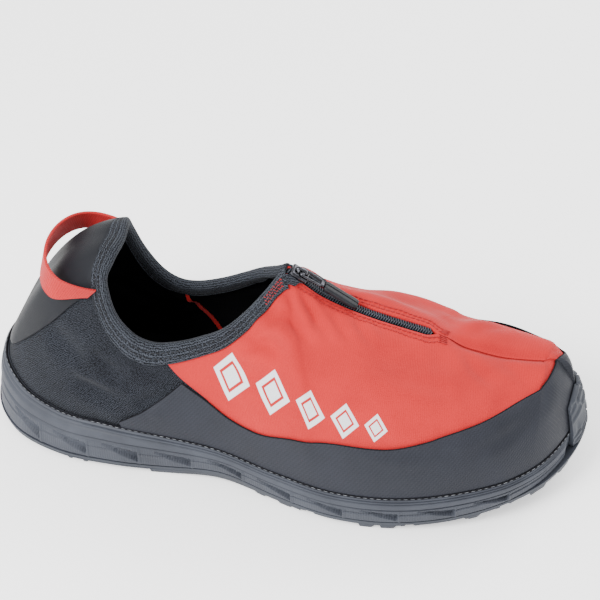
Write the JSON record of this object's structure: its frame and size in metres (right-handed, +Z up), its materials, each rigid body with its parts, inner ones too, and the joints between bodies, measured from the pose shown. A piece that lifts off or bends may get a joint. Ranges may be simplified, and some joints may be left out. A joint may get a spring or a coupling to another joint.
{
  "type": "winter overshoe",
  "caption": "Low zipped overshoe in soft red and black fabric on a cupped black rubber sole, with a dark mudguard, a pull loop at the heel and an arrow tread.",
  "frame": {"origin": "on the floor under the middle of the sole's bounding box", "axes": "+X from heel to toe, +Y to the inner (medial) side, +Z up from the floor"},
  "size_m": [0.3177, 0.1192, 0.1248],
  "materials": {
    "sole_rubber": "matte moulded rubber",
    "midsole_foam": "matte moulded foam rubber",
    "insole_felt": "matte lining",
    "softshell": "matte stretch softshell, dark stretch fabric round the heel",
    "rand_coated": "satin coated fabric",
    "counter_coated": "satin coated fabric",
    "binding_elastic": "matte knitted elastic",
    "loop_webbing": "matte woven webbing",
    "tape_textile": "matte woven tape",
    "zip_nylon": "satin nylon coil",
    "puller_metal": "dark plated metal",
    "grip_rubber": "matte rubber"
  },
  "bodies": {
    "shoe": {"outsole": "sole_rubber", "midsole": "midsole_foam", "insole": "insole_felt", "upper": "softshell", "rand": "rand_coated", "heel_counter": "counter_coated", "collar_binding": "binding_elastic", "pull_loop": "loop_webbing", "zip_tape": "tape_textile", "zip_coil": "zip_nylon", "zip_slider": "puller_metal"},
    "puller": {"puller_link": "puller_metal", "puller_grip": "grip_rubber"}
  },
  "joints": [
    {"name": "puller_hinge", "type": "hinge", "parent": "shoe", "child": "puller", "pos_m": [0.01204, 0.00088, 0.1156], "axis": [0, -1, 0], "range_deg": [0, 150]}
  ]
}
